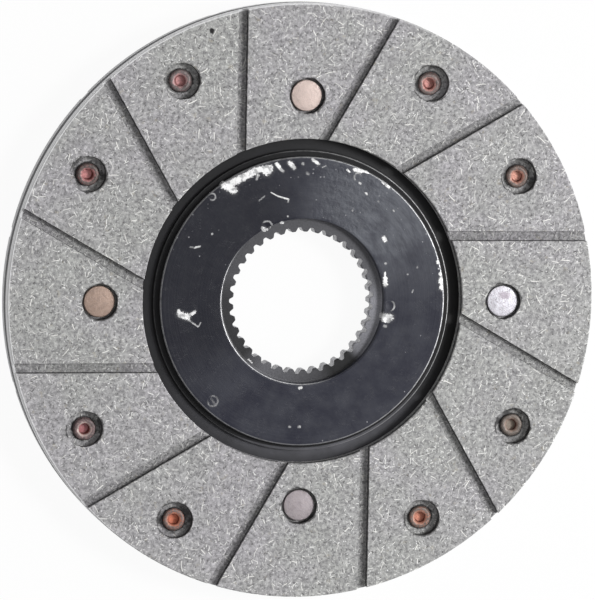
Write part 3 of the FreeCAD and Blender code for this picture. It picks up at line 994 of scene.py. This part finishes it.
def copper_group():
    """Tarnished copper: one colour each for head or roll, for the mouth and for the hollow."""
    group, given, result = shader_group(
        "tarnished_copper",
        (("Place", "Vector", None), ("Seed", "Float", 0.0), ("Outer", "Color", None),
         ("Mouth", "Color", None), ("Hollow", "Color", None), ("Spots", "Color", None),
         ("Soil", "Float", 0.3), ("Smudge", "Float", 0.0)),
        (("Colour", "Color"), ("Roughness", "Float"), ("Metallic", "Float"), ("Relief", "Float")))
    place = given["Place"]
    spot = vector_calc("ADD", place, joined(given["Seed"], given["Seed"] * 3.3))
    x, y, z = parts_of(place)
    radius = vector_calc("LENGTH", joined(x, y))
    cloud = grain(spot, 0.55, 4.0, 0.65)
    fine = grain(spot, 2.6, 4.0, 0.65)
    wander = radius + (cloud - 0.5) * 0.9
    rolled = rise(z, 2.0, 2.6)
    colour = blend(rise(wander, 2.6, 2.2) * rolled, given["Outer"], given["Mouth"])
    inside = rise(wander, 1.95, 1.65) * rolled
    colour = blend(inside, colour, given["Hollow"])
    # Painted shade: the hollow's wall is darkened to deep red
    hollow_wall_shade = rise(radius, 1.55, 1.7) * rise(z, 4.35, 4.0) * rolled * rise(radius, 1.95, 1.85)
    colour = blend(rise(fine, 0.35, 0.7, 0.0, 0.25), colour, (0.55, 0.45, 0.41, 1))
    spotted = rise(grain(spot, 2.0, 5.0, 0.8), 0.52, 0.6, 0.0, 0.75)
    colour = blend(spotted, colour, given["Spots"])
    smudge = vector_calc("MULTIPLY", vector_calc("SUBTRACT", joined(x, y), (0.65, -1.95, 0.0)),
                         (0.5, 0.8, 0.0))
    smudge = vector_calc("LENGTH", smudge) + (fine - 0.5) * 3.0
    smudge = rise(smudge, 1.15, 0.85) * given["Smudge"]
    colour = blend(smudge, colour, given["Spots"])
    dirt = rise(cloud, 0.48, 0.68) * (given["Soil"] * (1.0 - inside * 0.7))
    colour = blend(dirt, colour, (0.055, 0.048, 0.046, 1))
    colour = blend(hollow_wall_shade * 0.9, colour, (0.14, 0.028, 0.02, 1))
    shiny = (0.5 - rolled * 0.25) * (1.0 - dirt)
    put(result, {"Colour": colour, "Roughness": rise(fine, 0.2, 0.8, 0.38, 0.65), "Metallic": shiny,
                 "Relief": cloud * 0.14 + fine * 0.05})
    return group


tarnished_copper = copper_group()


def copper_material(name, seed, outer, mouth, hollow, spots, soil):
    made, tree, shader = new_material(name)
    place = add(tree, "ShaderNodeAttribute", attribute_name="rivet_place").outputs["Vector"]
    smudge = 0.8 if name == "rivet_inner_1_copper" else 0.0
    finish = placed(tarnished_copper, {
        "Place": place, "Seed": seed, "Outer": (*outer, 1), "Mouth": (*mouth, 1), "Hollow": (*hollow, 1),
        "Spots": (*spots, 1), "Soil": soil, "Smudge": smudge})
    put(shader, {"Base Color": finish["Colour"], "Roughness": finish["Roughness"],
                 "Metallic": finish["Metallic"]})
    emboss(shader, finish["Relief"])
    return made


# Each rivet's own look: colour outside, at the mouth, in the hollow and of its spots, then how much
# soil lies on it and which way its roll has slipped
plain = (0.5, 0.3, 0.25)
rivet_looks = {
    "rivet_inner_1": ((0.70, 0.70, 0.76), plain, plain, (0.36, 0.31, 0.36), 0.25, (0, 0, 0)),
    "rivet_inner_2": ((0.60, 0.49, 0.45), plain, plain, (0.60, 0.47, 0.42), 0.10, (0, 0, 0)),
    "rivet_inner_3": ((0.39, 0.28, 0.225), plain, plain, (0.36, 0.25, 0.20), 0.20, (0, 0, 0)),
    "rivet_inner_4": ((0.36, 0.325, 0.345), plain, plain, (0.31, 0.27, 0.29), 0.20, (0, 0, 0)),
    "rivet_outer_1": ((0.13, 0.10, 0.088), (0.52, 0.26, 0.20), (0.86, 0.42, 0.32), (0.30, 0.15, 0.12),
                      0.35, (-0.3, -0.2, 0)),
    "rivet_outer_2": ((0.13, 0.105, 0.10), (0.50, 0.25, 0.22), (0.80, 0.38, 0.34), (0.34, 0.16, 0.15),
                      0.5, (-0.5, -0.3, 0)),
    "rivet_outer_3": ((0.12, 0.105, 0.105), (0.44, 0.25, 0.25), (0.74, 0.36, 0.36), (0.30, 0.16, 0.17),
                      0.6, (-0.5, 0.1, 0)),
    "rivet_outer_4": ((0.08, 0.065, 0.062), (0.50, 0.22, 0.22), (0.76, 0.32, 0.32), (0.30, 0.12, 0.12),
                      0.7, (0.1, -0.2, 0)),
    "rivet_outer_5": ((0.12, 0.085, 0.09), (0.50, 0.40, 0.37), (0.50, 0.16, 0.18), (0.40, 0.24, 0.24),
                      0.4, (0.2, -0.2, 0)),
    "rivet_outer_6": ((0.15, 0.11, 0.10), (0.55, 0.21, 0.13), (0.80, 0.23, 0.12), (0.50, 0.12, 0.06),
                      0.35, (-0.2, 0.1, 0)),
    "rivet_outer_7": ((0.13, 0.105, 0.092), (0.46, 0.22, 0.155), (0.80, 0.32, 0.21), (0.48, 0.17, 0.10),
                      0.35, (-0.3, -0.1, 0)),
    "rivet_outer_8": ((0.13, 0.108, 0.095), (0.26, 0.18, 0.145), (0.30, 0.25, 0.20), (0.22, 0.19, 0.155),
                      0.5, (-0.2, 0.2, 0)),
}

rivet_shape = rivet_tree()
for number, (name, x, y, head_in_front) in enumerate(rivet_spots()):
    outer, mouth, hollow, spots, soil, shift = rivet_looks[name]
    copper = copper_material(name + "_copper", 1.7 * number, outer, mouth, hollow, spots, soil)
    place = Matrix.Translation((x, y, mid_height))
    if head_in_front:
        place = place @ half_turn
    values = {"Material": copper, "Seed": float(number), "Shift": shift}
    rivet = grow(rivet_shape, name + "_detail", values, place)
    smooth(rivet, 40)
    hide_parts(name)
    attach(rivet, "root")

# Floor
# A plain white sheet. The camera sees it lifted towards white, and it keeps the disc's soft shadow.
floor_half = 3.0
floor_gap = 0.00005


def floor_material():
    made, tree, mixed = new_material("white_sheet", "ShaderNodeMixShader")
    sheet = add(tree, "ShaderNodeBsdfDiffuse", {"Color": (0.9, 0.9, 0.9, 1)}).outputs[0]
    lifted = add(tree, "ShaderNodeEmission", {"Color": (1, 1, 1, 1), "Strength": 1.0}).outputs[0]
    path = add(tree, "ShaderNodeLightPath").outputs
    seen = calc("MAXIMUM", path["Is Camera Ray"], path["Is Glossy Ray"])
    put(mixed, {0: seen * 0.94, 1: sheet, 2: lifted})
    return made


floor_mesh = bpy.data.meshes.new("floor")
floor_corners = [(-floor_half, -floor_half), (floor_half, -floor_half), (floor_half, floor_half),
                 (-floor_half, floor_half)]
floor_mesh.from_pydata([(x, y, -floor_gap) for x, y in floor_corners], [], [(0, 1, 2, 3)])
floor_mesh.materials.append(floor_material())
floor = link(floor_mesh, "floor")

# Light
# A pale studio: an even sky, and two broad soft lamps on the right. Gloss mirrors another sky, which is
# dimmer overhead and has one bright patch.
sky_strength = 0.37
world = bpy.data.worlds.new("studio")
bpy.context.scene.world = world
world.use_nodes = True
sky = world.node_tree
sky.nodes.clear()
path = add(sky, "ShaderNodeLightPath").outputs
towards = add(sky, "ShaderNodeTexCoord").outputs["Generated"]
overhead = rise(parts_of(towards)[2], 0.3, 0.85, 1.0, 0.36)
white = (1, 1, 1, 1)
patch_direction = (0.44, 0.20, 0.875)
patch = rise(vector_calc("DOT_PRODUCT", towards, patch_direction), 0.9, 0.985, 0.0, 1.4)
lighting = add(sky, "ShaderNodeBackground", {"Color": white, "Strength": sky_strength}).outputs[0]
shown = add(sky, "ShaderNodeBackground", {"Color": white, "Strength": overhead + patch}).outputs[0]
direct = calc("MAXIMUM", calc("MAXIMUM", path["Is Camera Ray"], path["Is Glossy Ray"]),
              path["Is Transmission Ray"])
mixed = add(sky, "ShaderNodeMixShader", {0: direct, 1: lighting, 2: shown}).outputs[0]
add(sky, "ShaderNodeOutputWorld", {"Surface": mixed})


def towards_place(bearing, tilt):
    """The way to a place, by its bearing round the axis and its tilt from straight above."""
    around, lean = math.radians(bearing), math.radians(tilt)
    return Vector((math.sin(lean) * math.cos(around), math.sin(lean) * math.sin(around), math.cos(lean)))


def lamp(name, bearing, tilt, distance, size, power):
    """An area lamp aimed at the disc."""
    light = bpy.data.lights.new(name, "AREA")
    light.shape = "DISK"
    light.size = size
    light.energy = power
    made = link(light, name)
    away = towards_place(bearing, tilt)
    made.location = away * distance
    made.rotation_euler = away.to_track_quat("Z", "Y").to_euler()


lamp("key", 8, 43, 1.5, 0.5, 15.5)
lamp("side", 350, 66, 1.6, 0.8, 7.0)

# Camera
# Placed where the photograph was taken from: nearly overhead, leaning 13 degrees to the upper left.
camera_tilt = 13.23
camera_bearing = 154.47
camera_distance = 1.4542
camera_roll = 1.118
front_height = 0.013
aim = Vector((-0.00208, 0.00060, front_height))

view = bpy.data.cameras.new("camera")
view.sensor_width = 36.0
view.sensor_fit = "HORIZONTAL"
view.lens = 267.09
camera = link(view, "camera")
away = towards_place(camera_bearing, camera_tilt)
camera.location = away * camera_distance + Vector((0, 0, front_height))
back = (camera.location - aim).normalized()
right = Vector((0, 1, 0)).cross(back).normalized()
level = Matrix((right, back.cross(right), back)).transposed()
camera.rotation_euler = (level @ Matrix.Rotation(math.radians(camera_roll), 3, "Z")).to_euler()
bpy.context.scene.camera = camera
bpy.context.scene.view_settings.view_transform = "Standard"
